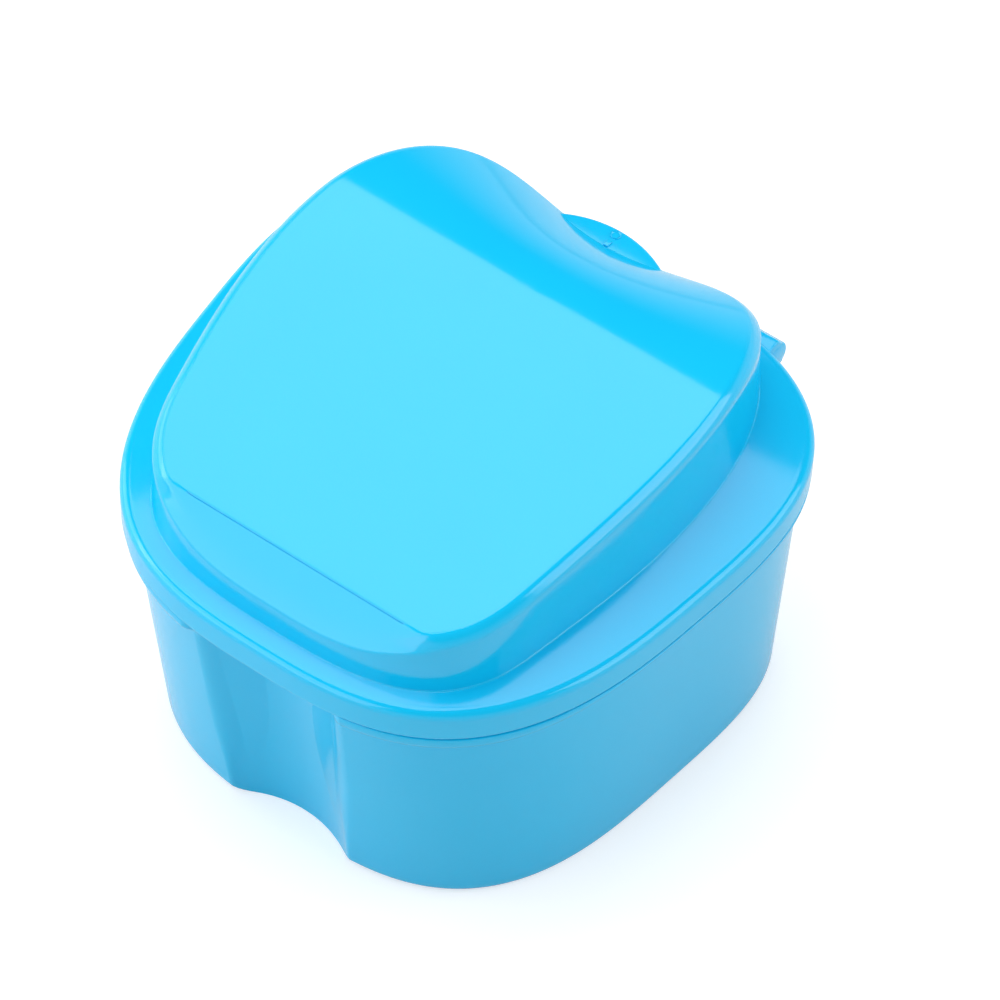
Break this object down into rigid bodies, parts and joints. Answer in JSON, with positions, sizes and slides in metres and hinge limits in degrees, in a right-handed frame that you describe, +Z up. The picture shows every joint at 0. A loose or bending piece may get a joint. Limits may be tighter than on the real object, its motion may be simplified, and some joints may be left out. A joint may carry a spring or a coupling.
{
  "type": "denture soaking case",
  "caption": "Tapered tub with a finger scallop, a hinged wedge-hooded lid and a lift-out slotted strainer basket with a loop handle.",
  "frame": {"origin": "middle of the tub's flat underside", "axes": "+Z up, +Y towards the hinge, +X to the right seen from the scalloped front"},
  "size_m": [0.09, 0.0922, 0.07],
  "materials": {
    "tub_blue": "gloss",
    "lid_blue": "gloss",
    "basket_blue": "gloss"
  },
  "bodies": {
    "tub_body": {"tub": "tub_blue"},
    "lid_body": {"lid": "lid_blue"},
    "basket_body": {"strainer_basket": "basket_blue"}
  },
  "joints": [
    {"name": "lid_hinge", "type": "hinge", "parent": "tub_body", "child": "lid_body", "pos_m": [0, 0.0447, 0.047], "axis": [-1, 0, 0], "range_deg": [0, 110]},
    {"name": "basket_lift", "type": "slide", "parent": "tub_body", "child": "basket_body", "axis": [0, 0, 1], "range_m": [0, 0.005]}
  ]
}
